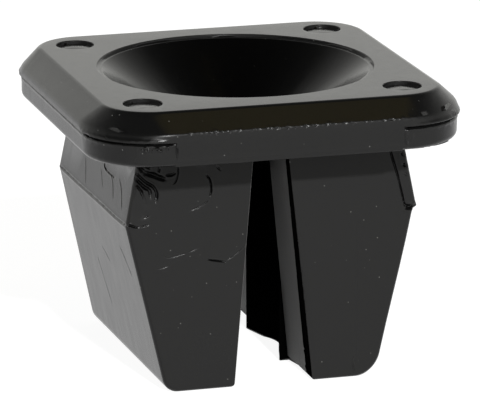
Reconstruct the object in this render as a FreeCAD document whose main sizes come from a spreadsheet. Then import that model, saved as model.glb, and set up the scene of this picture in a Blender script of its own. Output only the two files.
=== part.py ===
"""Plastic body nut: a square flanged head, a screw funnel and two slotted legs, moulded in one piece.

The nut is pushed into a square hole in a sheet panel. Its flange seats on the panel, the shoulders of
its legs snap out behind the sheet, and a screw driven down the funnel spreads the legs and locks it.

Frame: the origin is the middle of the flange's underside, where it seats on the panel.
+Z points out of the panel towards the screw's head, and the slot between the legs runs along Y.
"""
import FreeCAD, Part
import Sketcher
import math
import os

NODE = "body_nut"

# Driving sizes in millimetres
SIZES = {
    # Flange: a plate with a chamfered top over a drafted wall, which meet at the mould's parting line
    "flange_width": 16.0,
    "flange_corner": 2.95,
    "flange_height": 2.14,
    "chamfer_width": 0.88,
    "chamfer_height": 0.77,
    "chamfer_corner": 3.4,
    "top_corner": 2.0,
    "parting_height": 1.05,
    "parting_step": 0.1,
    "wall_draft": 0.02,
    "seat_edge_radius": 0.28,
    # Flat pads in the middle of the front and back of the flange's wall
    "pad_width": 9.56,
    "pad_inset": 0.18,
    # Screw funnel and the bore below it
    "rim_radius": 5.79,
    "rim_step": 0.12,
    "rim_ledge": 0.2,
    "funnel_depth": 2.8,
    "bore_diameter": 3.5,
    "throat_length": 0.95,
    "channel_diameter": 3.8,
    # Round ejector marks in the corners of the top face
    "mark_spacing": 11.0,
    "mark_diameter": 1.6,
    "mark_depth": 0.2,
    # Legs: a neck that widens down to the snap shoulders, then a taper down to the tips
    "neck_width": 11.14,
    "neck_depth": 10.3,
    "shoulder_width": 12.32,
    "shoulder_drop": 3.05,
    "tip_width": 9.16,
    "tip_depth": 11.2,
    "leg_length": 10.15,
    "left_toe_radius": 0.65,
    "right_toe_radius": 1.2,
    "leg_edge_radius": 0.2,
    # Slot between the legs, and the wider core that the screw's thread bites into
    "slot_top_width": 1.42,
    "slot_tip_width": 3.36,
    "slot_draft": 0.1,
    "core_width": 2.4,
    "core_length": 5.0,
    # Room that a cutting shape leaves beyond the surface that it starts from
    "cut_clearance": 0.5,
}

# Heights and widths that follow from the driving sizes, as expressions on the sheet
CHAMFER_FOOT = "(sizes.flange_height - sizes.chamfer_height)"
LEDGE_HEIGHT = "(sizes.flange_height - sizes.rim_step)"
FUNNEL_FOOT = f"({LEDGE_HEIGHT} - sizes.funnel_depth)"
THROAT_FOOT = f"({FUNNEL_FOOT} - sizes.throat_length)"
CUT_FOOT = "(-sizes.leg_length - sizes.cut_clearance)"
LEG_ROOT = "(sizes.parting_height / 2)"
NECK_FLARE = "((sizes.shoulder_width - sizes.neck_width) / 2 / sizes.shoulder_drop)"
LEG_DEPTH = "max(sizes.neck_depth; sizes.tip_depth)"
LEG_LEAN = "((sizes.tip_depth - sizes.neck_depth) / 2 / sizes.leg_length)"
SLOT_FLARE = "((sizes.slot_tip_width - sizes.slot_top_width) / 2 / sizes.leg_length)"

# Distance within which a point lies on a face or an edge
TOUCH = 1e-4

doc = FreeCAD.newDocument(NODE)


def make_sheet():
    """Spreadsheet of the driving sizes, one named cell each."""
    sheet = doc.addObject("Spreadsheet::Sheet", "sizes")
    for row, (name, value) in enumerate(SIZES.items(), start=1):
        sheet.set(f"A{row}", name)
        sheet.set(f"B{row}", str(value))
        sheet.setAlias(f"B{row}", name)
    doc.recompute()
    return sheet


sheet = make_sheet()
body = doc.addObject("PartDesign::Body", NODE)
body.Label = NODE
body.Placement = FreeCAD.Placement()


def origin_feature(role):
    """Plane or axis of the body's own origin."""
    for feature in body.Origin.OriginFeatures:
        if feature.Role == role:
            return feature
    raise ValueError(role)


def new_sketch(name, plane, offset="0"):
    """Empty sketch on one of the body's origin planes, moved along the plane's normal by an expression."""
    sketch = body.newObject("Sketcher::SketchObject", name)
    sketch.AttachmentSupport = [(origin_feature(plane), "")]
    sketch.MapMode = "FlatFace"
    sketch.setExpression("AttachmentOffset.Base.z", offset)
    return sketch


def bind(sketch, constraint, expression):
    """Adds a constraint whose value follows an expression."""
    index = sketch.addConstraint(constraint)
    sketch.setExpression(f"Constraints[{index}]", expression)


def draw_polygon(sketch, corners):
    """Closed outline of straight lines through corners, each a pair of expressions from the origin."""
    count = len(corners)
    turn = FreeCAD.Rotation(FreeCAD.Vector(0, 0, 1), 360 / count)
    ring = [FreeCAD.Vector(1, 0, 0)]
    while len(ring) < count:
        ring.append(turn.multVec(ring[-1]))
    first = sketch.GeometryCount
    for i in range(count):
        sketch.addGeometry(Part.LineSegment(ring[i], ring[(i + 1) % count]))
    for i, (across, up) in enumerate(corners):
        line = first + i
        sketch.addConstraint(Sketcher.Constraint("Coincident", line, 2, first + (i + 1) % count, 1))
        bind(sketch, Sketcher.Constraint("DistanceX", -1, 1, line, 1, ring[i].x), across)
        bind(sketch, Sketcher.Constraint("DistanceY", -1, 1, line, 1, ring[i].y), up)


def draw_rectangle(sketch, width, depth):
    """Rectangle about the origin."""
    right, left = f"({width}) / 2", f"-({width}) / 2"
    back, front = f"({depth}) / 2", f"-({depth}) / 2"
    draw_polygon(sketch, [(right, back), (left, back), (left, front), (right, front)])


def draw_rounded_square(sketch, width, corner):
    """Square about the origin with round corners."""
    half = sheet.flange_width / 2
    radius = sheet.flange_corner
    flat = half - radius
    for turn in range(4):
        spin = FreeCAD.Rotation(FreeCAD.Vector(0, 0, 1), 90 * turn)
        start = spin.multVec(FreeCAD.Vector(half, -flat))
        end = spin.multVec(FreeCAD.Vector(half, flat))
        centre = spin.multVec(FreeCAD.Vector(flat, flat))
        circle = Part.Circle(centre, FreeCAD.Vector(0, 0, 1), radius)
        sketch.addGeometry(Part.LineSegment(start, end))
        angle = math.radians(90 * turn)
        sketch.addGeometry(Part.ArcOfCircle(circle, angle, angle + math.pi / 2))
    for piece in range(8):
        sketch.addConstraint(Sketcher.Constraint("Tangent", piece, 2, (piece + 1) % 8, 1))
    for line in (0, 4):
        sketch.addConstraint(Sketcher.Constraint("Vertical", line))
    for line in (2, 6):
        sketch.addConstraint(Sketcher.Constraint("Horizontal", line))
    for arc in (3, 5, 7):
        sketch.addConstraint(Sketcher.Constraint("Equal", 1, arc))
    sketch.addConstraint(Sketcher.Constraint("Symmetric", 0, 1, 4, 1, -1, 1))
    bind(sketch, Sketcher.Constraint("DistanceX", 4, 1, 0, 1, 2 * half), width)
    bind(sketch, Sketcher.Constraint("DistanceY", 6, 1, 2, 1, 2 * half), width)
    bind(sketch, Sketcher.Constraint("Radius", 1, radius), corner)


def flange_outline(name, height, inset, corner):
    """Outline of the flange at a height, moved in from its widest outline."""
    sketch = new_sketch(name, "XY_Plane", height)
    draw_rounded_square(sketch, f"sizes.flange_width - 2 * {inset}", corner)
    return sketch


def loft(kind, name, profile, section):
    """Straight-sided loft from one outline to another."""
    feature = body.newObject(f"PartDesign::{kind}", name)
    feature.Profile = profile
    feature.Sections = [section]
    feature.Ruled = True
    doc.recompute()
    return feature


def extrude(kind, name, profile, length, side="One side"):
    """Pad or pocket of an outline."""
    feature = body.newObject(f"PartDesign::{kind}", name)
    feature.Profile = profile
    feature.SideType = side
    feature.setExpression("Length", length)
    doc.recompute()
    return feature


def edges_where(test):
    """Names of the edges of the solid so far whose start, middle and end points pass the test."""
    names = []
    for number, edge in enumerate(body.Tip.Shape.Edges, start=1):
        first, last = edge.ParameterRange
        points = [edge.valueAt(place) for place in (first, (first + last) / 2, last)]
        if test(points):
            names.append(f"Edge{number}")
    return names


def round_edges(name, radius, edges):
    """Fillet on named edges of the solid so far."""
    base = body.Tip
    feature = body.newObject("PartDesign::Fillet", name)
    feature.Base = (base, edges)
    feature.setExpression("Radius", radius)
    doc.recompute()


def make_legs():
    """Solid block of both legs, with round toes, leaning front and back faces and broken edges."""
    sketch = new_sketch("leg_profile", "XZ_Plane")
    half_profile = [
        (f"(sizes.neck_width / 2 - {NECK_FLARE} * {LEG_ROOT})", LEG_ROOT),
        ("sizes.shoulder_width / 2", "-sizes.shoulder_drop"),
        ("sizes.tip_width / 2", "-sizes.leg_length"),
    ]
    mirrored = [(f"-{across}", up) for across, up in reversed(half_profile)]
    draw_polygon(sketch, half_profile + mirrored)
    extrude("Pad", "leg_block", sketch, LEG_DEPTH, "Symmetric")

    for name, side in (("left_toe", -1), ("right_toe", 1)):
        toe = FreeCAD.Vector(side * sheet.tip_width / 2, 0, -sheet.leg_length)

        def on_toe(points):
            return all(math.hypot(p.x - toe.x, p.z - toe.z) < TOUCH for p in points)

        round_edges(name, f"sizes.{name}_radius", edges_where(on_toe))

    sketch = new_sketch("leaning_faces_profile", "YZ_Plane")
    outside = f"({LEG_DEPTH} / 2 + sizes.cut_clearance)"
    above = f"({LEG_ROOT} + sizes.cut_clearance)"
    for sign in ("", "-"):
        draw_polygon(sketch, [
            (f"{sign}(sizes.neck_depth / 2 - {LEG_LEAN} * {above})", above),
            (f"{sign}{outside}", above),
            (f"{sign}{outside}", CUT_FOOT),
            (f"{sign}(sizes.tip_depth / 2 + {LEG_LEAN} * sizes.cut_clearance)", CUT_FOOT),
        ])
    extrude("Pocket", "leaning_faces", sketch, "sizes.shoulder_width + 2 * sizes.cut_clearance", "Symmetric")

    lean = (sheet.tip_depth - sheet.neck_depth) / 2 / sheet.leg_length
    root = sheet.parting_height / 2

    def round_a_face(points):
        on_face = all(abs(abs(p.y) - sheet.neck_depth / 2 + lean * p.z) < TOUCH for p in points)
        return on_face and min(p.z for p in points) < root - TOUCH

    round_edges("leg_edges", "sizes.leg_edge_radius", edges_where(round_a_face))


def make_flange():
    """Drafted wall with a rounded seat edge, plate, chamfered top and the pads on two of the walls."""
    seat_inset = "(sizes.parting_step + sizes.wall_draft)"
    loft("AdditiveLoft", "flange_wall",
         flange_outline("seat_outline", "0", seat_inset, f"sizes.flange_corner - {seat_inset}"),
         flange_outline("wall_outline", "sizes.parting_height", "sizes.parting_step",
                        "sizes.flange_corner - sizes.parting_step"))

    half = sheet.flange_width / 2 - sheet.parting_step - sheet.wall_draft

    def on_seat_edge(points):
        reach = max(max(abs(p.x), abs(p.y)) for p in points)
        return all(abs(p.z) < TOUCH for p in points) and abs(reach - half) < TOUCH

    round_edges("seat_edge", "sizes.seat_edge_radius", edges_where(on_seat_edge))

    loft("AdditiveLoft", "flange_plate",
         flange_outline("parting_outline", "sizes.parting_height", "0", "sizes.flange_corner"),
         flange_outline("plate_outline", CHAMFER_FOOT, "0", "sizes.chamfer_corner"))
    loft("AdditiveLoft", "flange_chamfer",
         flange_outline("chamfer_outline", CHAMFER_FOOT, "0", "sizes.chamfer_corner"),
         flange_outline("top_outline", "sizes.flange_height", "sizes.chamfer_width", "sizes.top_corner"))

    foot = new_sketch("pad_foot", "XY_Plane")
    draw_rectangle(foot, "sizes.pad_width", "sizes.flange_width - 2 * sizes.pad_inset")
    head = new_sketch("pad_head", "XY_Plane", "sizes.parting_height")
    draw_rectangle(head, "sizes.pad_width", "sizes.flange_width")
    loft("AdditiveLoft", "wall_pads", foot, head)


def make_slot():
    """Slot between the legs: a drafted blade from the front and one from the back meet a wider core."""
    def blade_outline(name, distance, ceiling, inset):
        sketch = new_sketch(name, "XZ_Plane", distance)
        across = []
        for height in (ceiling, CUT_FOOT):
            across.append(f"(sizes.slot_top_width / 2 - {SLOT_FLARE} * {height} - {inset})")
        draw_polygon(sketch, [
            (across[0], ceiling),
            (f"-{across[0]}", ceiling),
            (f"-{across[1]}", CUT_FOOT),
            (across[1], CUT_FOOT),
        ])
        return sketch

    mouth = blade_outline("blade_mouth", f"{LEG_DEPTH} / 2 + sizes.cut_clearance", "0", "0")
    ceiling = f"({FUNNEL_FOOT} - sizes.throat_length / 2)"
    end = blade_outline("blade_end", "sizes.core_length / 2", ceiling, "sizes.slot_draft")
    front = loft("SubtractiveLoft", "front_blade", mouth, end)
    back = body.newObject("PartDesign::Mirrored", "back_blade")
    back.Originals = [front]
    back.MirrorPlane = (origin_feature("XZ_Plane"), [""])
    body.Tip = back
    doc.recompute()

    core = new_sketch("core_outline", "XY_Plane", THROAT_FOOT)
    draw_rectangle(core, "sizes.core_width", "sizes.core_length")
    extrude("Pocket", "screw_core", core, f"{THROAT_FOOT} - {CUT_FOOT}")


def make_funnel():
    """Stepped rim, conical funnel, round throat and the channel that the screw cuts its thread in."""
    sketch = new_sketch("funnel_profile", "XZ_Plane")
    above = "(sizes.flange_height + sizes.cut_clearance)"
    draw_polygon(sketch, [
        ("0", above),
        ("sizes.rim_radius", above),
        ("sizes.rim_radius", LEDGE_HEIGHT),
        ("sizes.rim_radius - sizes.rim_ledge", LEDGE_HEIGHT),
        ("sizes.bore_diameter / 2", FUNNEL_FOOT),
        ("sizes.bore_diameter / 2", THROAT_FOOT),
        ("sizes.channel_diameter / 2", CUT_FOOT),
        ("0", CUT_FOOT),
    ])
    funnel = body.newObject("PartDesign::Groove", "funnel")
    funnel.Profile = sketch
    funnel.ReferenceAxis = (origin_feature("Z_Axis"), [""])
    funnel.Angle = 360
    doc.recompute()


def make_marks():
    """Shallow round ejector marks, one in each corner of the top face."""
    sketch = new_sketch("mark_outline", "XY_Plane", "sizes.flange_height")
    place = sheet.mark_spacing / 2
    centre = FreeCAD.Vector(place, place)
    circle = sketch.addGeometry(Part.Circle(centre, FreeCAD.Vector(0, 0, 1), sheet.mark_diameter / 2))
    bind(sketch, Sketcher.Constraint("DistanceX", -1, 1, circle, 3, place), "sizes.mark_spacing / 2")
    bind(sketch, Sketcher.Constraint("DistanceY", -1, 1, circle, 3, place), "sizes.mark_spacing / 2")
    bind(sketch, Sketcher.Constraint("Diameter", circle, sheet.mark_diameter), "sizes.mark_diameter")
    mark = extrude("Pocket", "ejector_mark", sketch, "sizes.mark_depth")
    marks = body.newObject("PartDesign::PolarPattern", "ejector_marks")
    marks.Originals = [mark]
    marks.Axis = (origin_feature("Z_Axis"), [""])
    marks.Angle = 360
    marks.Occurrences = 4
    body.Tip = marks
    doc.recompute()


def check_features():
    """Stops if a feature failed, or a cut or an addition left the volume as it was."""
    for thing in doc.Objects:
        if "Invalid" in thing.State or "Error" in thing.State:
            raise RuntimeError(f"{thing.Name} failed: {thing.State}")
    removing = ("Pocket", "SubtractiveLoft", "Groove", "Fillet", "Mirrored", "PolarPattern")
    for feature in body.Group:
        base = getattr(feature, "BaseFeature", None)
        if base is None:
            continue
        change = feature.Shape.Volume - base.Shape.Volume
        if feature.TypeId.split("::")[1] in removing:
            change = -change
        if change <= 0:
            raise RuntimeError(f"{feature.Name} changed nothing")


make_legs()
make_flange()
make_slot()
make_funnel()
make_marks()
doc.recompute()
check_features()

shape = body.Shape
if shape.isNull() or not shape.isValid() or len(shape.Solids) != 1:
    raise RuntimeError("the nut is not one valid solid")
os.makedirs("parts", exist_ok=True)
shape.exportStep(f"parts/{NODE}.step")
print(f"{NODE}: {len(shape.Faces)} faces, {shape.Volume:.1f} mm3")
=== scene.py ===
"""Looks of the plastic body nut: satin black moulded nylon on a white studio floor."""
import math
import random

import bmesh
import bpy
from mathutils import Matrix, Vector, noise
from mathutils.kdtree import KDTree


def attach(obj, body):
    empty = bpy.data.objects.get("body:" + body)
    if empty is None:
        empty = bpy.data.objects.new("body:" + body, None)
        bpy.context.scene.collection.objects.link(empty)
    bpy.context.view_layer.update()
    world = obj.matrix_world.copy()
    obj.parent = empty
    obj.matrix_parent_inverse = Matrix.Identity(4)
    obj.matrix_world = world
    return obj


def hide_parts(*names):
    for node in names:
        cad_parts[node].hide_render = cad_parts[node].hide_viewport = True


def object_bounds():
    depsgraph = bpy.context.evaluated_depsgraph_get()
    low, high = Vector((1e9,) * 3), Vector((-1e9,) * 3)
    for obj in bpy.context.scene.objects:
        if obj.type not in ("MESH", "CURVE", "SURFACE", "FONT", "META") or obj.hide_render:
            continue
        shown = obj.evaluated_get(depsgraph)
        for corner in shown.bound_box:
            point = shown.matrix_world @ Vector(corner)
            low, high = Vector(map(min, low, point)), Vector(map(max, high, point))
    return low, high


MM = 0.001
X_AXIS = 0
Y_AXIS = 1
Z_AXIS = 2

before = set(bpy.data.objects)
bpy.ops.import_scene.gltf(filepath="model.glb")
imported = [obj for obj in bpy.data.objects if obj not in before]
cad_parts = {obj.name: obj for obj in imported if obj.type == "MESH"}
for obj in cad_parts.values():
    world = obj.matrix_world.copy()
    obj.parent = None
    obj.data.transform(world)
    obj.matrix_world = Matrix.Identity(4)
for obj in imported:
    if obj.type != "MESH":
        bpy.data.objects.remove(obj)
cad_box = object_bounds()
scene = bpy.context.scene


# Camera at the photograph's viewing angle: degrees, metres, and millimetres for the lens and the sensor
VIEW_AZIMUTH = -16.36
VIEW_ELEVATION = 14.99
VIEW_DISTANCE = 188.3 * MM
VIEW_TARGET = Vector((0.12, -0.275, -3.86)) * MM
LENS = 336.0
SENSOR_WIDTH = 36.0
CLIP_START = 0.01
CLIP_END = 5.0


def aim(thing, direction):
    """Turns a camera or a lamp along a direction."""
    thing.rotation_mode = "QUATERNION"
    thing.rotation_quaternion = direction.to_track_quat("-Z", "Y")


def photo_camera():
    """Camera with a long lens, a little above the nut and to the left of its front."""
    data = bpy.data.cameras.new("camera")
    data.lens = LENS
    data.sensor_width = SENSOR_WIDTH
    data.clip_start = CLIP_START
    data.clip_end = CLIP_END
    camera = bpy.data.objects.new("camera", data)
    scene.collection.objects.link(camera)
    turn = math.radians(VIEW_AZIMUTH)
    rise = math.radians(VIEW_ELEVATION)
    back = Vector((math.sin(turn) * math.cos(rise), -math.cos(turn) * math.cos(rise), math.sin(rise)))
    camera.location = VIEW_TARGET + back * VIEW_DISTANCE
    aim(camera, -back)
    scene.camera = camera


# Lamps: a small round one at the front and a warm card above, in metres and watts
NUT_MIDDLE = Vector((0, 0, -4)) * MM
FLASH_PLACE = Vector((0.0, -0.38, 0.235))
FLASH_SIZE = 0.012
FLASH_POWER = 6.6
FLASH_CONE = math.radians(70)
FLASH_BLEND = 0.5
CARD_PLACE = Vector((0.081, -0.075, 0.279))
CARD_SIZE = 0.12
CARD_POWER = 0.016
CARD_COLOUR = (1, 0.78, 0.2)


def place_lamp(data, place):
    """Puts a lamp in its place, pointed at the nut."""
    lamp = bpy.data.objects.new(data.name, data)
    lamp.location = place
    aim(lamp, NUT_MIDDLE - lamp.location)
    scene.collection.objects.link(lamp)


def flash():
    """Small round lamp whose cone takes in the nut and the floor round it."""
    data = bpy.data.lights.new("flash", "SPOT")
    data.shadow_soft_size = FLASH_SIZE
    data.energy = FLASH_POWER
    data.spot_size = FLASH_CONE
    data.spot_blend = FLASH_BLEND
    place_lamp(data, FLASH_PLACE)


def warm_card():
    """Square card whose warm light shows in the front chamfer."""
    data = bpy.data.lights.new("warm_card", "AREA")
    data.size = CARD_SIZE
    data.energy = CARD_POWER
    data.color = CARD_COLOUR
    place_lamp(data, CARD_PLACE)


# Range of a noise texture's values that is put to use
NOISE_LOW = 0.3
NOISE_HIGH = 0.7


def add_node(tree, kind, **inputs):
    """Shader node with its unlinked inputs set by name."""
    node = tree.nodes.new(kind)
    for name, value in inputs.items():
        node.inputs[name.replace("_", " ")].default_value = value
    return node


def join(tree, source, output, target, socket):
    """Links two shader nodes."""
    tree.links.new(source.outputs[output], target.inputs[socket])


def spread(tree, source, output, low, high, start=NOISE_LOW, stop=NOISE_HIGH):
    """Maps one range of a node's values onto another."""
    node = add_node(tree, "ShaderNodeMapRange", From_Min=start, From_Max=stop, To_Min=low, To_Max=high)
    join(tree, source, output, node, "Value")
    return node


def combine(tree, operation, first, second):
    """Math node over two outputs."""
    node = tree.nodes.new("ShaderNodeMath")
    node.operation = operation
    tree.links.new(first, node.inputs[0])
    tree.links.new(second, node.inputs[1])
    return node


def mix_shaders(tree, share, first, second):
    """Mix of two shaders, where a share of 1 is the second one."""
    mix = tree.nodes.new("ShaderNodeMixShader")
    tree.links.new(share, mix.inputs[0])
    tree.links.new(first.outputs[0], mix.inputs[1])
    tree.links.new(second.outputs[0], mix.inputs[2])
    return mix


# Surroundings: level of their white by height from the horizon up, and the share of blue in it
SKY = ((0.0, 1.0), (0.2, 1.0), (0.27, 0.95), (0.41, 0.68), (0.75, 0.08), (1.0, 0.01))
SKY_BLUE = 0.96
WHITE = (1, 1, 1, 1)


def sky_colours(tree):
    """Colours of the surroundings by height."""
    place = tree.nodes.new("ShaderNodeTexCoord")
    axes = tree.nodes.new("ShaderNodeSeparateXYZ")
    join(tree, place, "Generated", axes, "Vector")
    sky = tree.nodes.new("ShaderNodeValToRGB")
    join(tree, axes, "Z", sky, "Fac")
    elements = sky.color_ramp.elements
    elements[0].position = SKY[0][0]
    elements[1].position = SKY[-1][0]
    for position, level in SKY[1:-1]:
        elements.new(position)
    for element, (position, level) in zip(elements, SKY):
        element.color = (level, level, SKY_BLUE * level, 1.0)
    return sky


def studio_world():
    """White surroundings near the horizon under a dim ceiling, and plain white behind the nut."""
    world = bpy.data.worlds.new("studio")
    scene.world = world
    world.use_nodes = True
    tree = world.node_tree
    tree.nodes.clear()
    surroundings = add_node(tree, "ShaderNodeBackground", Strength=1.0)
    join(tree, sky_colours(tree), "Color", surroundings, "Color")
    backdrop = add_node(tree, "ShaderNodeBackground", Color=WHITE, Strength=1.0)
    path = tree.nodes.new("ShaderNodeLightPath")
    mix = mix_shaders(tree, path.outputs["Is Camera Ray"], surroundings, backdrop)
    out = tree.nodes.new("ShaderNodeOutputWorld")
    join(tree, mix, "Shader", out, "Surface")


# Floor: its paper, its glow in reflections and to the camera, how much of it the camera sees as glow
PAPER = (0.95, 0.95, 0.95, 1)
REFLECTED_GLOW = 0.95
SEEN_GLOW = 1.3
SEEN_SHARE = 0.7
FLOOR_RADIUS = 0.6
FLOOR_SEGMENTS = 96


def floor_material():
    """White floor that keeps a soft shadow, and looks white to the camera and in reflections."""
    material = bpy.data.materials.new("white_floor")
    material.use_nodes = True
    tree = material.node_tree
    tree.nodes.clear()
    paper = add_node(tree, "ShaderNodeBsdfDiffuse", Color=PAPER)
    glow = add_node(tree, "ShaderNodeEmission", Color=WHITE)
    path = tree.nodes.new("ShaderNodeLightPath")
    level = spread(tree, path, "Is Camera Ray", REFLECTED_GLOW, SEEN_GLOW, 0.0, 1.0)
    join(tree, level, "Result", glow, "Strength")
    share = spread(tree, path, "Is Camera Ray", 0.0, SEEN_SHARE, 0.0, 1.0)
    seen = combine(tree, "MAXIMUM", share.outputs["Result"], path.outputs["Is Glossy Ray"])
    clear = combine(tree, "MAXIMUM", seen.outputs["Value"], path.outputs["Is Transmission Ray"])
    mix = mix_shaders(tree, clear.outputs["Value"], paper, glow)
    out = tree.nodes.new("ShaderNodeOutputMaterial")
    join(tree, mix, "Shader", out, "Surface")
    return material


def studio_floor():
    """Round white floor under the leg tips."""
    mesh = bpy.data.meshes.new("floor")
    shape = bmesh.new()
    bmesh.ops.create_circle(shape, cap_ends=True, segments=FLOOR_SEGMENTS, radius=FLOOR_RADIUS)
    shape.to_mesh(mesh)
    shape.free()
    floor = bpy.data.objects.new("floor", mesh)
    floor.location.z = cad_box[0].z
    mesh.materials.append(floor_material())
    scene.collection.objects.link(floor)


# Finishes: name, roughness, reflection, grain in metres, shade of black, varied by a face's direction
FINISHES = (
    ("satin_nylon", 0.25, 0.5, 1.2e-6, 0.018, True),
    # Polished: the funnel, smoother; its base, blacker than the satin's, is painted shade.
    ("polished_nylon_painted_shade", 0.18, 0.5, 8e-7, 0.001, False),
    # Rough: the slot's walls; its much lighter base is painted light.
    ("rough_nylon_painted_light", 0.7, 0.5, 2e-5, 0.11, False),
    # Dull: black and without reflection, painted shade for the channel and the slot's front edge.
    ("dull_nylon_painted_shade", 0.8, 0.0, 6e-6, 0.001, False),
)
SATIN = 0
POLISHED_PAINTED_SHADE = 1
ROUGH_PAINTED_LIGHT = 2
DULL_PAINTED_SHADE = 3
NYLON_IOR = 1.35

# Parts of the normal between which a face begins to count as the front or back, a chamfer or the top
FRONT_FACING = (0.78, 0.95)
CHAMFER_FACING = (0.4, 0.62)
TOP_FACING = (0.8, 0.95)

# Changes of roughness on those faces, the share of the reflection kept on the front and back, and the share
# of the black's level kept on all other faces, which paints shade on them
CHAMFER_SMOOTHER = -0.07
TOP_SMOOTHER = -0.08
FRONT_ROUGHER = 0.145
FRONT_REFLECTION = 0.35
PAINTED_SHADE_SHARE = 0.25

# Streaks along the legs, with their change of roughness, and the fine grain
STREAK_STRETCH = (2.5, 2.5, 0.35)
STREAK_DETAIL = 3.0
STREAK_SPAN = 0.02
GRAIN_SCALE = 13.0
GRAIN_DETAIL = 4.0

# Specks of dust: spacing, size, how much lighter they are, and the share of blue in them
DUST_SCALE = 2.2
DUST_SIZE = (0.03, 0.07)
DUST = 0.12
FAINT_DUST = 0.01
DUST_BLUE = 0.95


def facing_change(tree, axes, to_front):
    """Change of roughness by where a face looks."""
    smoother = spread(tree, to_front, "Value", 0.0, CHAMFER_SMOOTHER, *CHAMFER_FACING)
    rougher = spread(tree, to_front, "Value", 0.0, FRONT_ROUGHER, *FRONT_FACING)
    top = spread(tree, axes, "Z", 0.0, TOP_SMOOTHER, *TOP_FACING)
    sides = combine(tree, "ADD", smoother.outputs["Result"], rougher.outputs["Result"])
    return combine(tree, "ADD", sides.outputs["Value"], top.outputs["Result"])


def flow_streaks(tree, place, roughness):
    """Roughness with faint streaks along the legs."""
    stretch = add_node(tree, "ShaderNodeMapping", Scale=STREAK_STRETCH)
    join(tree, place, "Object", stretch, "Vector")
    streaks = add_node(tree, "ShaderNodeTexNoise", Scale=1.0, Detail=STREAK_DETAIL)
    join(tree, stretch, "Vector", streaks, "Vector")
    return spread(tree, streaks, "Fac", roughness - STREAK_SPAN, roughness + STREAK_SPAN)


def dusty_black(tree, place, shade_of_black, dust):
    """Black with a few lighter specks."""
    cells = add_node(tree, "ShaderNodeTexVoronoi", Scale=DUST_SCALE)
    join(tree, place, "Object", cells, "Vector")
    specks = spread(tree, cells, "Distance", 1.0, 0.0, *DUST_SIZE)
    colour = tree.nodes.new("ShaderNodeMix")
    colour.data_type = "RGBA"
    lighter = shade_of_black + dust
    colour.inputs["A"].default_value = (shade_of_black, shade_of_black, shade_of_black, 1)
    colour.inputs["B"].default_value = (lighter, lighter, DUST_BLUE * lighter, 1)
    join(tree, specks, "Result", colour, "Factor")
    return colour


def fine_grain(tree, place, depth):
    """Fine grain of the moulded surface."""
    fine = add_node(tree, "ShaderNodeTexNoise", Scale=GRAIN_SCALE, Detail=GRAIN_DETAIL)
    join(tree, place, "Object", fine, "Vector")
    grain = add_node(tree, "ShaderNodeBump", Strength=1.0, Distance=depth)
    join(tree, fine, "Fac", grain, "Height")
    return grain


def nylon(name, roughness, reflection, grain, shade_of_black, varied):
    """Black moulded nylon: fine grain, faint flow streaks and a few specks of dust."""
    material = bpy.data.materials.new(name)
    material.use_nodes = True
    tree = material.node_tree
    shader = tree.nodes["Principled BSDF"]
    shader.inputs["IOR"].default_value = NYLON_IOR
    shader.inputs["Specular IOR Level"].default_value = reflection
    place = tree.nodes.new("ShaderNodeTexCoord")
    streaks = flow_streaks(tree, place, roughness)
    colour = dusty_black(tree, place, shade_of_black, DUST if varied else FAINT_DUST)
    join(tree, colour, "Result", shader, "Base Color")
    join(tree, streaks, "Result", shader, "Roughness")
    join(tree, fine_grain(tree, place, grain), "Normal", shader, "Normal")
    if varied:
        vary_by_facing(tree, place, shader, streaks, colour, reflection, shade_of_black)
    return material


def vary_by_facing(tree, place, shader, streaks, colour, reflection, shade_of_black):
    """Makes the front and back rougher and less shiny, and the chamfers and the top smoother; all other
    faces get a blacker base than the front and back, which is painted shade.
    """
    axes = tree.nodes.new("ShaderNodeSeparateXYZ")
    join(tree, place, "Normal", axes, "Vector")
    to_front = tree.nodes.new("ShaderNodeMath")
    to_front.operation = "ABSOLUTE"
    join(tree, axes, "Y", to_front, 0)
    gloss = spread(tree, to_front, "Value", reflection, reflection * FRONT_REFLECTION, *FRONT_FACING)
    join(tree, gloss, "Result", shader, "Specular IOR Level")
    change = facing_change(tree, axes, to_front)
    finish = combine(tree, "ADD", streaks.outputs["Result"], change.outputs["Value"])
    join(tree, finish, "Value", shader, "Roughness")
    # Painted shade: every face but the front and back gets a blacker base colour.
    painted_shade_black = shade_of_black * PAINTED_SHADE_SHARE
    grey_with_painted_shade = spread(tree, to_front, "Value", painted_shade_black, shade_of_black, *FRONT_FACING)
    join(tree, grey_with_painted_shade, "Result", colour, "A")


# Roundings of the edges, in millimetres, by where they lie
WIDEST_ROUNDING = 0.15
FRONT_FOOT_ROUNDING = 0.07
TOP_ROUNDING = 0.12
RIM_ROUNDING = 0.04
PARTING_ROUNDING = 0.035
LEG_ROUNDING = 0.05
ROUNDING_SEGMENTS = 3
SHARP_ANGLE = math.radians(35)
STEEP_ANGLE = math.radians(60)
FLAT_ANGLE = math.radians(0.6)
SAME_POINT = 0.004

# Where the edges lie, in millimetres: heights from the top down, then distances from the middle
TOP_EDGES = 2.1
RIM_EDGES = 1.9
CHAMFER_FOOT = (1.3, 1.4)
PARTING_EDGES = 1.0
SEAT_EDGES = -0.1
FRONT_FOOT_REACH = 7.0
BESIDE_PAD_X = 5.1
BESIDE_PAD_Y = 7.5
FRONT_SEAT_X = 0.1


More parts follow.
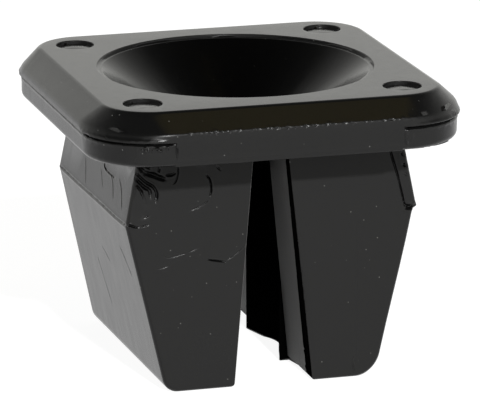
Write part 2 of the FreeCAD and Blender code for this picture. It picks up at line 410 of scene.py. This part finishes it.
def edge_rounding(edge):
    """Rounding of one edge; inner corners, fillets and the ends of the wall's pads keep theirs."""
    middle = (edge.verts[0].co + edge.verts[1].co) / 2
    angle = edge.calc_face_angle()
    at_foot = CHAMFER_FOOT[0] < middle.z < CHAMFER_FOOT[1]
    if not edge.is_convex or (angle < SHARP_ANGLE and not at_foot):
        return 0.0
    if middle.z > TOP_EDGES:
        return TOP_ROUNDING if angle < STEEP_ANGLE else RIM_ROUNDING
    if middle.z > RIM_EDGES:
        return RIM_ROUNDING
    if at_foot:
        return FRONT_FOOT_ROUNDING if abs(middle.y) > FRONT_FOOT_REACH else WIDEST_ROUNDING
    if middle.z > PARTING_EDGES:
        beside_pad = abs(middle.x) < BESIDE_PAD_X and abs(middle.y) > BESIDE_PAD_Y
        return 0.0 if beside_pad else PARTING_ROUNDING
    if middle.z > SEAT_EDGES:
        return RIM_ROUNDING if abs(middle.x) < FRONT_SEAT_X else 0.0
    return LEG_ROUNDING


def solid_in_millimetres():
    """Mesh of the solid with its flat faces whole."""
    shape = bmesh.new()
    shape.from_mesh(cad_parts["body_nut"].data)
    bmesh.ops.scale(shape, vec=Vector((1, 1, 1)) / MM, verts=shape.verts)
    bmesh.ops.remove_doubles(shape, verts=shape.verts, dist=SAME_POINT)
    bmesh.ops.dissolve_limit(shape, angle_limit=FLAT_ANGLE, verts=shape.verts, edges=shape.edges)
    return shape


def apply_modifiers(piece):
    """Puts the result of a piece's modifiers in its mesh."""
    graph = bpy.context.evaluated_depsgraph_get()
    finished = bpy.data.meshes.new_from_object(piece.evaluated_get(graph))
    piece.modifiers.clear()
    piece.data = finished


def with_round_edges(shape):
    """The solid with its sharp edges rounded as moulded plastic is."""
    weights = shape.edges.layers.float.new("bevel_weight_edge")
    for edge in shape.edges:
        edge[weights] = edge_rounding(edge) / WIDEST_ROUNDING
    mesh = bpy.data.meshes.new("moulding")
    shape.to_mesh(mesh)
    shape.free()
    piece = bpy.data.objects.new("moulding", mesh)
    scene.collection.objects.link(piece)
    bevel = piece.modifiers.new("edges", "BEVEL")
    bevel.width = WIDEST_ROUNDING
    bevel.segments = ROUNDING_SEGMENTS
    bevel.limit_method = "WEIGHT"
    bevel.use_clamp_overlap = False
    apply_modifiers(piece)
    return piece


def keep_in_box(verts):
    """Moves points that stand outside the solid's box back to its faces."""
    lowest, highest = (corner / MM for corner in cad_box)
    for vert in verts:
        for axis in (X_AXIS, Y_AXIS, Z_AXIS):
            vert.co[axis] = min(max(vert.co[axis], lowest[axis]), highest[axis])


# Walls of the slot at its top, how fast they part downwards, and the legs' ends with their rounding
SLOT_HALF = 0.68
SLOT_FLARE = 0.0976
LEG_END = -10.15
TIP_ROUNDING = 0.2
TIP_DEPTH = 0.5
TIP_CUTS = (0.15, 0.35, 0.6, 1.0)

# Screw's channel: half length, half width at its ends, widening to its middle, top, arris and place
CHANNEL_END = 2.45
CHANNEL_HALF = 1.22
CHANNEL_FLARE = 0.27
CHANNEL_TOP = -1.8
ARRIS = 0.03
CHANNEL_SIDES = (0.5, 2.0)

# Spacing of the even cuts through the faces, and the distances within which points count as one
FACE_SPACING = 1.13
CUT_TOLERANCE = 1e-5
SHORTEST_EDGE = 0.001


def slot_x(z):
    """Half width of the slot at a height."""
    return SLOT_HALF - SLOT_FLARE * z


def round_tips(shape):
    """Rounds the legs' ends towards the slot."""
    for vert in shape.verts:
        x, y, z = vert.co
        across = TIP_ROUNDING - (abs(x) - slot_x(z))
        along = TIP_ROUNDING - (z - LEG_END)
        reach = math.hypot(across, along)
        if abs(y) > CHANNEL_END and 0 < across < TIP_DEPTH and along > 0 and reach > TIP_ROUNDING:
            pull = TIP_ROUNDING / reach
            vert.co.z = LEG_END + TIP_ROUNDING - along * pull
            vert.co.x = math.copysign(slot_x(vert.co.z) + TIP_ROUNDING - across * pull, x)


def cut(shape, axis, reach):
    """Cuts the faces along a plane across an axis."""
    normal = Vector((0, 0, 0))
    normal[axis] = 1
    everything = shape.verts[:] + shape.edges[:] + shape.faces[:]
    bmesh.ops.bisect_plane(
        shape, geom=everything, dist=CUT_TOLERANCE, plane_co=normal * reach, plane_no=normal)


def split_faces(shape):
    """Cuts the faces along even planes across each axis, so that none is much longer than wide."""
    bmesh.ops.triangulate(shape, faces=shape.faces)
    lowest, highest = (corner / MM for corner in cad_box)
    for axis in (X_AXIS, Y_AXIS, Z_AXIS):
        steps = math.ceil((highest[axis] - lowest[axis]) / FACE_SPACING)
        for step in range(1, steps):
            cut(shape, axis, lowest[axis] + step * FACE_SPACING)
    for side in (-1, 1):
        cut(shape, Y_AXIS, side * CHANNEL_END)
        cut(shape, Y_AXIS, side * (CHANNEL_END - ARRIS))
        for share in TIP_CUTS:
            cut(shape, X_AXIS, side * (slot_x(LEG_END) + share * TIP_ROUNDING))
    for share in TIP_CUTS:
        cut(shape, Z_AXIS, LEG_END + share * TIP_ROUNDING)
    bmesh.ops.triangulate(shape, faces=shape.faces)


# Faces of the legs that carry marks, in millimetres
NECK_HALF = 5.57
NECK_FLARE = 0.1934
SHOULDER_HALF = 6.16
SHOULDER_Z = -3.05
LEG_TAPER = 0.2225
FRONT_Y = -5.15
FRONT_LEAN = 0.0443

# Flange wall with its corners, the pads on it and the foot of the chamfer above it
WALL_HALF = 7.9
WALL_CORNER = 2.85
CORNER_STEP = 6
PAD_HALF = 4.78
PAD_Y = -7.82
PAD_LEAN = 0.17
CHAMFER_FOOT_Y = -8.0


def on_front(x, z):
    """Point on the front face of the legs."""
    return Vector((x, FRONT_Y + FRONT_LEAN * z, z))


def on_back(x, z):
    """Point on the back face of the legs."""
    return Vector((x, -FRONT_Y - FRONT_LEAN * z, z))


def side_x(z):
    """Half width of the legs at a height."""
    if z > SHOULDER_Z:
        return NECK_HALF - NECK_FLARE * z
    return SHOULDER_HALF + LEG_TAPER * (z - SHOULDER_Z)


def on_left(y, z):
    """Point on the left face of the legs."""
    return Vector((-side_x(z), y, z))


def on_right(y, z):
    """Point on the right face of the legs."""
    return Vector((side_x(z), y, z))


def on_pad(x, z):
    """Point on the pad in the middle of the flange's front wall."""
    return Vector((x, PAD_Y - PAD_LEAN * z, z))


def on_chamfer_foot(x, z):
    """Point on the front edge between the flange's wall and its chamfer."""
    return Vector((x, CHAMFER_FOOT_Y, z))


def on_slot(y, z):
    """Point on the right leg's wall of the slot."""
    return Vector((slot_x(z), y, z))


def round_the_flange(side, z):
    """Points along the flange's wall, from the front pad round one side to the back pad."""
    centre = WALL_HALF - WALL_CORNER
    points = [Vector((side * PAD_HALF, -WALL_HALF, z))]
    for y, first, last in ((-centre, 270, 360), (centre, 0, 90)):
        for degrees in range(first, last + 1, CORNER_STEP):
            turn = math.radians(degrees)
            reach = centre + WALL_CORNER * math.cos(turn)
            points.append(Vector((side * reach, y + WALL_CORNER * math.sin(turn), z)))
    points.append(Vector((side * PAD_HALF, WALL_HALF, z)))
    return points


# Marks on the nut: face, half width, height or depth, and points along the mark
MARKS = {
    "wrinkle_1": (on_front, 0.06, -0.14, ((-5.9, -0.85), (-5.45, -1.35), (-5.15, -1.6), (-5.1, -1.9))),
    "wrinkle_2": (
        on_front, 0.05, -0.12, ((-5.8, -0.75), (-5.35, -1.2), (-5.0, -1.45), (-4.85, -1.75), (-4.9, -2.1))),
    "wrinkle_3": (on_front, 0.07, -0.16, ((-5.3, -0.85), (-4.9, -1.0), (-4.45, -1.2))),
    "wrinkle_4": (on_front, 0.05, -0.12, ((-4.7, -0.6), (-4.75, -0.95))),
    "wrinkle_5": (on_front, 0.045, -0.12, ((-4.5, -1.0), (-4.2, -1.0), (-4.05, -0.9))),
    "wrinkle_6": (on_front, 0.055, -0.14, ((-5.65, -0.5), (-5.3, -0.85))),
    "wrinkle_7": (on_front, 0.055, -0.13, ((-5.55, -0.45), (-5.2, -0.6), (-5.1, -0.75))),
    "wrinkle_8": (on_front, 0.045, -0.1, ((-5.75, -1.25), (-5.5, -1.6), (-5.35, -2.0))),
    "flow_edge": (on_front, 0.03, -0.07, ((-3.95, -0.6), (-3.95, -1.0), (-4.05, -1.3), (-4.2, -1.4))),
    "curved_fold": (on_front, 0.03, -0.14, ((-2.75, -1.1), (-2.6, -1.35), (-2.55, -1.7), (-2.6, -2.0))),
    "curved_scratch": (
        on_front, 0.025, -0.03, ((-2.62, -2.05), (-2.7, -2.2), (-3.05, -2.4), (-3.45, -2.55))),
    "short_scratch": (on_front, 0.035, -0.14, ((-2.3, -0.8), (-2.15, -0.95))),
    "zigzag_left_fold": (on_front, 0.02, -0.02, ((-4.65, -4.3), (-4.4, -4.45), (-3.6, -4.3))),
    "zigzag_left": (on_front, 0.02, -0.02, ((-3.6, -4.3), (-3.05, -4.1))),
    "zigzag_low": (on_front, 0.02, -0.018, ((-4.9, -4.9), (-4.6, -4.85), (-4.35, -4.75))),
    "zigzag_right_fold": (on_front, 0.025, -0.11, ((-2.75, -4.65), (-2.0, -4.8))),
    "zigzag_right": (on_front, 0.02, -0.025, ((-2.0, -4.8), (-1.4, -4.4), (-1.05, -4.1))),
    "shoulder_fold": (on_front, 0.035, -0.12, ((-6.25, -2.9), (-5.8, -3.05), (-5.65, -3.08))),
    "shoulder_glint": (on_front, 0.03, -0.04, ((-5.6, -3.08), (-5.15, -3.0))),
    "shoulder_streak": (on_front, 0.03, -0.03, ((-5.4, -2.72), (-5.15, -2.6))),
    "neck_crack_1": (on_left, 0.025, -0.015, ((1.75, -1.8), (1.4, -2.3), (1.05, -2.85))),
    "neck_crack_2": (on_left, 0.025, -0.015, ((-0.55, -1.7), (-0.9, -2.0), (-1.3, -2.45))),
    "neck_crack_3": (on_left, 0.025, -0.02, ((-2.05, -1.6), (-2.5, -1.9), (-2.95, -2.5))),
    "neck_crack_4": (on_left, 0.025, -0.02, ((-3.25, -1.5), (-3.8, -1.9), (-4.3, -2.6))),
    "neck_hook": (on_left, 0.035, -0.05, ((-0.8, -0.9), (-0.85, -1.3), (-1.2, -1.6), (-2.65, -1.65))),
    "shoulder_line": (
        on_left, 0.05, -0.06, ((5.0, -3.03), (2.0, -3.05), (-1.0, -3.03), (-3.5, -3.05), (-5.1, -3.0))),
    "taper_scratch_1": (on_left, 0.025, -0.012, ((0.25, -5.3), (-0.15, -5.5), (-0.65, -5.8))),
    "taper_scratch_2": (on_left, 0.025, -0.015, ((-3.15, -4.35), (-3.75, -4.9), (-4.25, -5.45))),
    "taper_scratch_3": (on_left, 0.025, -0.01, ((1.65, -6.1), (1.3, -7.2), (0.9, -8.15))),
    "leg_line": (
        on_front, 0.025, -0.01, ((3.62, -3.6), (3.65, -6.5), (3.62, -9.2), (3.5, -9.6), (3.62, -10.1))),
    "leg_line_flash": (on_front, 0.03, 0.03, ((3.6, -9.1), (3.45, -9.5), (3.58, -10.1))),
    "corner_hollow": (on_front, 0.35, -0.08, ((-5.55, -1.5), (-5.5, -2.1), (-5.6, -2.8))),
    "wrinkle_hollow": (on_front, 0.2, -0.06, ((-5.5, -0.7), (-5.0, -0.95), (-4.5, -1.1))),
    "speck_1": (on_front, 0.07, 0.05, ((-1.8, -1.65), (-1.7, -1.55))),
    "speck_2": (on_front, 0.05, 0.05, ((-2.31, -6.2), (-2.29, -6.2))),
    "speck_3": (on_front, 0.05, 0.03, ((-3.33, -1.75), (-3.27, -1.72))),
    "slot_edge": (on_slot, 0.1, -0.2, ((-5.0, -0.8), (-5.2, -4.0), (-5.35, -7.0), (-5.4, -9.7))),
    "strip_edge": (on_front, 0.03, -0.11, ((5.1, -0.2), (5.15, -0.9), (5.57, -2.8), (5.66, -3.0))),
    "strip_blotch_1": (on_front, 0.06, -0.15, ((5.45, -0.75), (5.6, -0.9))),
    "strip_blotch_2": (on_front, 0.06, -0.15, ((5.5, -1.25), (5.72, -1.35))),
    "strip_blotch_3": (on_front, 0.05, -0.12, ((5.6, -1.65), (5.78, -1.75))),
    "strip_foot": (on_front, 0.07, -0.2, ((5.64, -3.02), (5.9, -3.1), (6.2, -3.06))),
    "shoulder_nub": (on_right, 0.08, 0.1, ((-5.1, -3.1), (-4.7, -3.1))),
    "pad_end_right": (on_pad, 0.06, 0.1, ((5.15, 1.0), (4.95, 0.8), (4.9, 0.5), (4.98, 0.2))),
    "pad_end_hook": (on_pad, 0.05, 0.09, ((5.3, 0.85), (5.2, 0.6), (5.12, 0.4))),
    "pad_end_left": (on_pad, 0.03, -0.04, ((-4.75, 0.95), (-4.72, 0.6), (-4.75, 0.2))),
    "right_shoulder_line": (
        on_right, 0.05, -0.05, ((5.0, -3.03), (2.0, -3.05), (-1.0, -3.03), (-4.5, -3.05))),
    "back_shoulder_left": (on_back, 0.05, -0.06, ((-6.2, -3.0), (-5.7, -3.08), (-5.2, -3.02))),
    "back_shoulder_right": (on_back, 0.05, -0.06, ((6.2, -3.0), (5.7, -3.08), (5.3, -3.05))),
    "back_scratch": (on_back, 0.03, -0.03, ((2.2, -3.6), (2.9, -4.4), (3.2, -5.3))),
    "back_line": (on_back, 0.025, -0.015, ((-3.6, -3.5), (-3.65, -6.5), (-3.6, -10.0))),
    "right_scratch": (on_right, 0.025, -0.02, ((-1.0, -4.6), (0.2, -5.6), (0.6, -6.6))),
}

# Parting groove on each side of the flange: half width, depth and height
PARTING_WIDTH = 0.06
PARTING_DEPTH = -0.14
PARTING_Z = {"parting_left": (-1, 1.02), "parting_right": (1, 0.98)}

# Scuffs low on the left leg: how many, where they may lie, half widths and heights
CHANCE_SEED = 5
SCUFFS = 160
SCUFF_X = (-4.2, -1.8)
SCUFF_Z = (-9.6, -7.7)
SCUFF_WIDTHS = (0.025, 0.04)
SCUFF_HEIGHTS = (-0.008, 0.008)

# Specks on the flange's wall by the left end of the front pad
WALL_SPECKS = 12
WALL_SPECK_Z = (0.7, 0.88)
WALL_SPECK_ALONG = (0.3, 1.4)
WALL_SPECK_WIDTH = 0.05
WALL_SPECK_HEIGHT = 0.1

# Dents in the foot of the front chamfer
DENTS = 90
DENT_X = (-4.3, 5.5)
DENT_Z = (1.31, 1.4)
DENT_WIDTHS = (0.03, 0.08)
DENT_DEPTHS = (-0.02, -0.004)

# Spacing of the points along a mark, in millimetres
STEP = 0.02


def smooth_path(points):
    """Points at an even spacing along a smooth line through the given ones."""
    ends = [2 * points[0] - points[1], *points, 2 * points[-1] - points[-2]]
    path = []
    for a, b, c, d in zip(ends, ends[1:], ends[2:], ends[3:]):
        count = max(1, round((c - b).length / STEP))
        for step in range(count):
            t = step / count
            path.append(0.5 * (2 * b + (c - a) * t + (2 * a - 5 * b + 4 * c - d) * t ** 2
                               + (3 * b - 3 * c + d - a) * t ** 3))
    path.append(points[-1].copy())
    return path


def scattered_marks():
    """Small dents and burrs on the left leg, the flange's wall and the foot of its chamfer."""
    chance = random.Random(CHANCE_SEED)
    marks = []
    for _ in range(SCUFFS):
        place = on_front(chance.uniform(*SCUFF_X), chance.uniform(*SCUFF_Z))
        marks.append(([place], chance.uniform(*SCUFF_WIDTHS), chance.choice(SCUFF_HEIGHTS)))
    for _ in range(WALL_SPECKS):
        path = smooth_path(round_the_flange(-1, chance.uniform(*WALL_SPECK_Z)))
        place = path[round(chance.uniform(*WALL_SPECK_ALONG) / STEP)]
        marks.append(([place], WALL_SPECK_WIDTH, WALL_SPECK_HEIGHT))
    for _ in range(DENTS):
        place = on_chamfer_foot(chance.uniform(*DENT_X), chance.uniform(*DENT_Z))
        marks.append(([place], chance.uniform(*DENT_WIDTHS), chance.uniform(*DENT_DEPTHS)))
    return marks


def all_marks():
    """Path, half width and height of each mark."""
    marks = scattered_marks()
    for face, width, height, places in MARKS.values():
        marks.append((smooth_path([face(*place) for place in places]), width, height))
    for side, z in PARTING_Z.values():
        marks.append((smooth_path(round_the_flange(side, z)), PARTING_WIDTH, PARTING_DEPTH))
    return marks


def point_tree(points):
    """Search tree of points."""
    tree = KDTree(len(points))
    for index, point in enumerate(points):
        tree.insert(point, index)
    tree.balance()
    return tree


# Fine mesh by a mark: samples along an edge, half widths with the finest faces, growth beyond, passes
EDGE_SAMPLES = (0.0, 0.25, 0.5, 0.75, 1.0)
FINEST_REACH = 2.5
GRADING = 1.1
REFINING_PASSES = 6


def refine(shape, marks):
    """Splits long edges near the marks, more finely the nearer they are."""
    points = [point for path, width, height in marks for point in path[::2]]
    widths = [width for path, width, height in marks for point in path[::2]]
    tree = point_tree(points)

    def too_long(edge):
        start, end = (vert.co for vert in edge.verts)
        length = (end - start).length
        for t in EDGE_SAMPLES:
            _, index, distance = tree.find(start.lerp(end, t))
            width = widths[index]
            if length > max(width, GRADING * (distance - FINEST_REACH * width)):
                return True
        return False

    for _ in range(REFINING_PASSES):
        long = [edge for edge in shape.edges if too_long(edge)]
        bmesh.ops.subdivide_edges(shape, edges=long, cuts=1)
        bmesh.ops.triangulate(shape, faces=[face for face in shape.faces if len(face.verts) > 3])


# How far a mark and its burr lie from its path, in half widths
MARK_REACH = 4
BURR_PLACE = 2

# Share of a groove's depth that its burr has, and the widest groove with a burr
BURR = 0.2
WIDEST_BURRED = 0.08

# Share of a mark's height at its ends, the length over which it fades, and how uneven it is
END_SHARE = 0.2
END_FADE = 0.25
EVEN_SHARE = 0.9
UNEVEN_SHARE = 0.4
UNEVEN_SCALE = 4.0


def swell(distance, width, height):
    """Share of a mark's height at a distance, with a low burr along both sides of a groove."""
    share = math.exp(-(distance / width) ** 2)
    if height < 0 and width < WIDEST_BURRED:
        share -= BURR * math.exp(-((distance - BURR_PLACE * width) / width) ** 2)
    return share


def press_marks(shape, marks):
    """Moves the surface in or out along each mark."""
    shape.normal_update()
    verts = list(shape.verts)
    resting = [(vert.co.copy(), vert.normal.copy()) for vert in verts]
    tree = point_tree([place for place, normal in resting])
    for path, width, height in marks:
        line = point_tree(path)
        near = set()
        for point in path:
            near.update(index for _, index, _ in tree.find_range(point, MARK_REACH * width))
        for index in near:
            place, normal = resting[index]
            _, step, distance = line.find(place)
            to_end = min(step, len(path) - 1 - step) * STEP
            fade = 1.0 if len(path) == 1 else min(1.0, END_SHARE + to_end / END_FADE)
            uneven = EVEN_SHARE + UNEVEN_SHARE * noise.noise(place * UNEVEN_SCALE)
            verts[index].co += normal * height * fade * uneven * swell(distance, width, height)


# Small shifts of the mould's slides, in millimetres, and the parts of the legs over which they grow
RIGHT_SLIDE = 0.12
RIGHT_TOE = 0.13
LEFT_SKEW = 0.17
NECK_FOOT_Z = (-3.16, -3.1)
RIGHT_STRIP_X = (5.0, 5.35)
LEG_SIDE_X = (3.0, 4.6)
TOE_DEPTH = (4.0, 9.5)
SKEW_START = 5.2
SKEW_LENGTH = 10.4
UNDER_FLANGE = 0.02
WITHIN_FLANGE = 7.0


def ramp(value, low, high):
    """Smooth step from 0 to 1."""
    t = min(max((value - low) / (high - low), 0.0), 1.0)
    return t * t * (3 - 2 * t)


def shift_slides(shape):
    """Sets the legs' sides a little off, as the mould's slides left them."""
    for vert in shape.verts:
        x, y, z = vert.co
        if z > UNDER_FLANGE or abs(x) > WITHIN_FLANGE:
            continue
        on_neck = ramp(z, *NECK_FOOT_Z)
        vert.co.x += RIGHT_SLIDE * on_neck * ramp(x, *RIGHT_STRIP_X)
        vert.co.x -= RIGHT_TOE * ramp(-z, *TOE_DEPTH) * ramp(x, *LEG_SIDE_X)
        vert.co.x -= LEFT_SKEW * ramp(-x, *LEG_SIDE_X) * (y + SKEW_START) / SKEW_LENGTH


def widen_channel(shape):
    """Draws the channel's sides out to its ends, so that they recede behind its edges."""
    nearest, farthest = CHANNEL_SIDES
    for vert in shape.verts:
        x, y, z = vert.co
        inside = abs(y) < CHANNEL_END - ARRIS / 2 and nearest < abs(x) < farthest
        if inside and z < CHANNEL_TOP:
            half = CHANNEL_HALF + CHANNEL_FLARE * (CHANNEL_END - abs(y))
            vert.co.x = math.copysign(max(abs(x), half), x)


# Ejector marks in the top face
TOP_Z = 2.14
PIN_PLACE = 5.5
PIN_RADIUS = 0.8
PIN_SINK = 0.15
PIN_CROWN = 0.06
PIN_LOWEST = 1.9
PIN_MARGIN = 1.02


def crown_pin_floors(shape):
    """Lifts the floors of the ejector marks into low crowns."""
    for vert in shape.verts:
        off_centre = math.hypot(abs(vert.co.x) - PIN_PLACE, abs(vert.co.y) - PIN_PLACE) / PIN_RADIUS
        if vert.co.z > PIN_LOWEST and off_centre < PIN_MARGIN:
            floor = TOP_Z - PIN_SINK + PIN_CROWN * (1 - off_centre ** 2)
            vert.co.z = max(vert.co.z, floor)


# Cone of the funnel: its lowest and highest points, widest reach, reach at the seat and spread
FUNNEL_LOW = -0.8
FUNNEL_HIGH = 2.01
FUNNEL_REACH = 5.57
FUNNEL_AT_SEAT = 3.4
FUNNEL_SPREAD = 1.36

# Width of the dull black strip by the slot's front edge, which is painted shade, and how much it grows for
# each millimetre down
PAINTED_SHADE_STRIP = 0.42
PAINTED_SHADE_STRIP_FLARE = 0.03

# Where the slot's finishes lie, and how far a face must look sideways to have them
SLOT_TOP = -0.3
TIP_MARGIN = 0.05
SLOT_SIDE = 2.0
CHANNEL_MARGIN = 0.1
STRIP_SIDEWAYS = 0.3
WALL_SIDEWAYS = 0.6


def in_funnel(place):
    """Whether a point is on the cone that leads the screw in."""
    reach = math.hypot(place.x, place.y)
    inside = reach < min(FUNNEL_REACH, FUNNEL_AT_SEAT + FUNNEL_SPREAD * place.z)
    return FUNNEL_LOW < place.z < FUNNEL_HIGH and inside


def finish_of(face):
    """Finish of a face: satin outside; polished in the funnel, with a blacker base as painted shade; rough
    on the slot's walls, with a lighter base as painted light; dull and black as painted shade in the
    channel and along the right leg's front edge of the slot.
    """
    place = face.calc_center_median()
    sideways = abs(face.normal.x)
    if in_funnel(place):
        # The funnel's polished finish has a blacker base, which is painted shade.
        return POLISHED_PAINTED_SHADE
    if not LEG_END + TIP_MARGIN < place.z < SLOT_TOP or abs(place.x) > SLOT_SIDE:
        return SATIN
    in_shade_strip = abs(place.y) > -FRONT_Y - FRONT_LEAN * place.z - PAINTED_SHADE_STRIP + PAINTED_SHADE_STRIP_FLARE * place.z
    on_right_front = place.x > 0 > place.y
    in_channel = abs(place.y) < CHANNEL_END + CHANNEL_MARGIN
    # Painted shade: the channel and the strip by the right leg's front edge of the slot go dull and black.
    if in_channel or (in_shade_strip and on_right_front and sideways > STRIP_SIDEWAYS):
        return DULL_PAINTED_SHADE
    # Painted light: the slot's walls get the rough finish's much lighter base.
    return ROUGH_PAINTED_LIGHT if sideways > WALL_SIDEWAYS else SATIN


# Heights round the chamfer's foot where the rounding keeps its own normals
ROUND_FOOT = (1.2, 1.5)

# Share of the triangles that is kept once the marks are pressed, since flat faces need few
KEPT_SHARE = 0.4

# Half width round the slot where none are merged, and how firmly such points are held
SLOT_REACH = 2.6
HOLD = 1000.0


def even_normals(piece):
    """Evens the normals out, but not in the funnel or on the chamfer's foot, which are round."""
    low, high = ROUND_FOOT
    group = piece.vertex_groups.new(name="flat")
    flat = []
    for vert in piece.data.vertices:
        on_foot = low < vert.co.z < high
        if not in_funnel(vert.co) and not on_foot:
            flat.append(vert.index)
    group.add(flat, 1.0, "REPLACE")
    normals = piece.modifiers.new("normals", "WEIGHTED_NORMAL")
    normals.keep_sharp = True
    normals.vertex_group = group.name


def thin_out(piece, added):
    """Merges triangles that only the fine mesh round the marks needed."""
    crowded = piece.vertex_groups.new(name="crowded")
    crowded.add(added, 1.0, "ADD")
    fewer = piece.modifiers.new("fewer", "DECIMATE")
    fewer.ratio = KEPT_SHARE
    fewer.vertex_group = crowded.name
    fewer.vertex_group_factor = HOLD


def off_the_slot(spot):
    """Whether a point is on the flange or on the outer parts of the legs."""
    return spot.z > UNDER_FLANGE or abs(spot.x) > SLOT_REACH


def add_marks(shape):
    """Presses the marks and the mould's faults into the shape, and lists points that may be merged."""
    split_faces(shape)
    own_points = set(shape.verts)
    marks = all_marks()
    refine(shape, marks)
    for edge in shape.edges:
        edge.smooth = edge.calc_face_angle(0) < SHARP_ANGLE
    for face in shape.faces:
        face.smooth = True
    press_marks(shape, marks)
    for face in shape.faces:
        face.material_index = finish_of(face)
    round_tips(shape)
    shift_slides(shape)
    widen_channel(shape)
    crown_pin_floors(shape)
    keep_in_box(shape.verts)
    shape.verts.index_update()
    return [vert.index for vert in shape.verts if vert not in own_points and off_the_slot(vert.co)]


def moulding():
    """Rounded copy of the solid, with the marks that its mould and its use left on it."""
    piece = with_round_edges(solid_in_millimetres())
    piece.data.materials.clear()
    for finish in FINISHES:
        piece.data.materials.append(nylon(*finish))
    shape = bmesh.new()
    shape.from_mesh(piece.data)
    keep_in_box(shape.verts)
    bmesh.ops.dissolve_degenerate(shape, edges=shape.edges, dist=SHORTEST_EDGE)
    added = add_marks(shape)
    shape.to_mesh(piece.data)
    shape.free()
    thin_out(piece, added)
    even_normals(piece)
    apply_modifiers(piece)
    keep_in_box(piece.data.vertices)
    piece.scale = (MM, MM, MM)
    return piece


photo_camera()
studio_world()
studio_floor()
flash()
warm_card()

body = moulding()
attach(body, "root")
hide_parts("body_nut")

scene.view_settings.view_transform = "Standard"
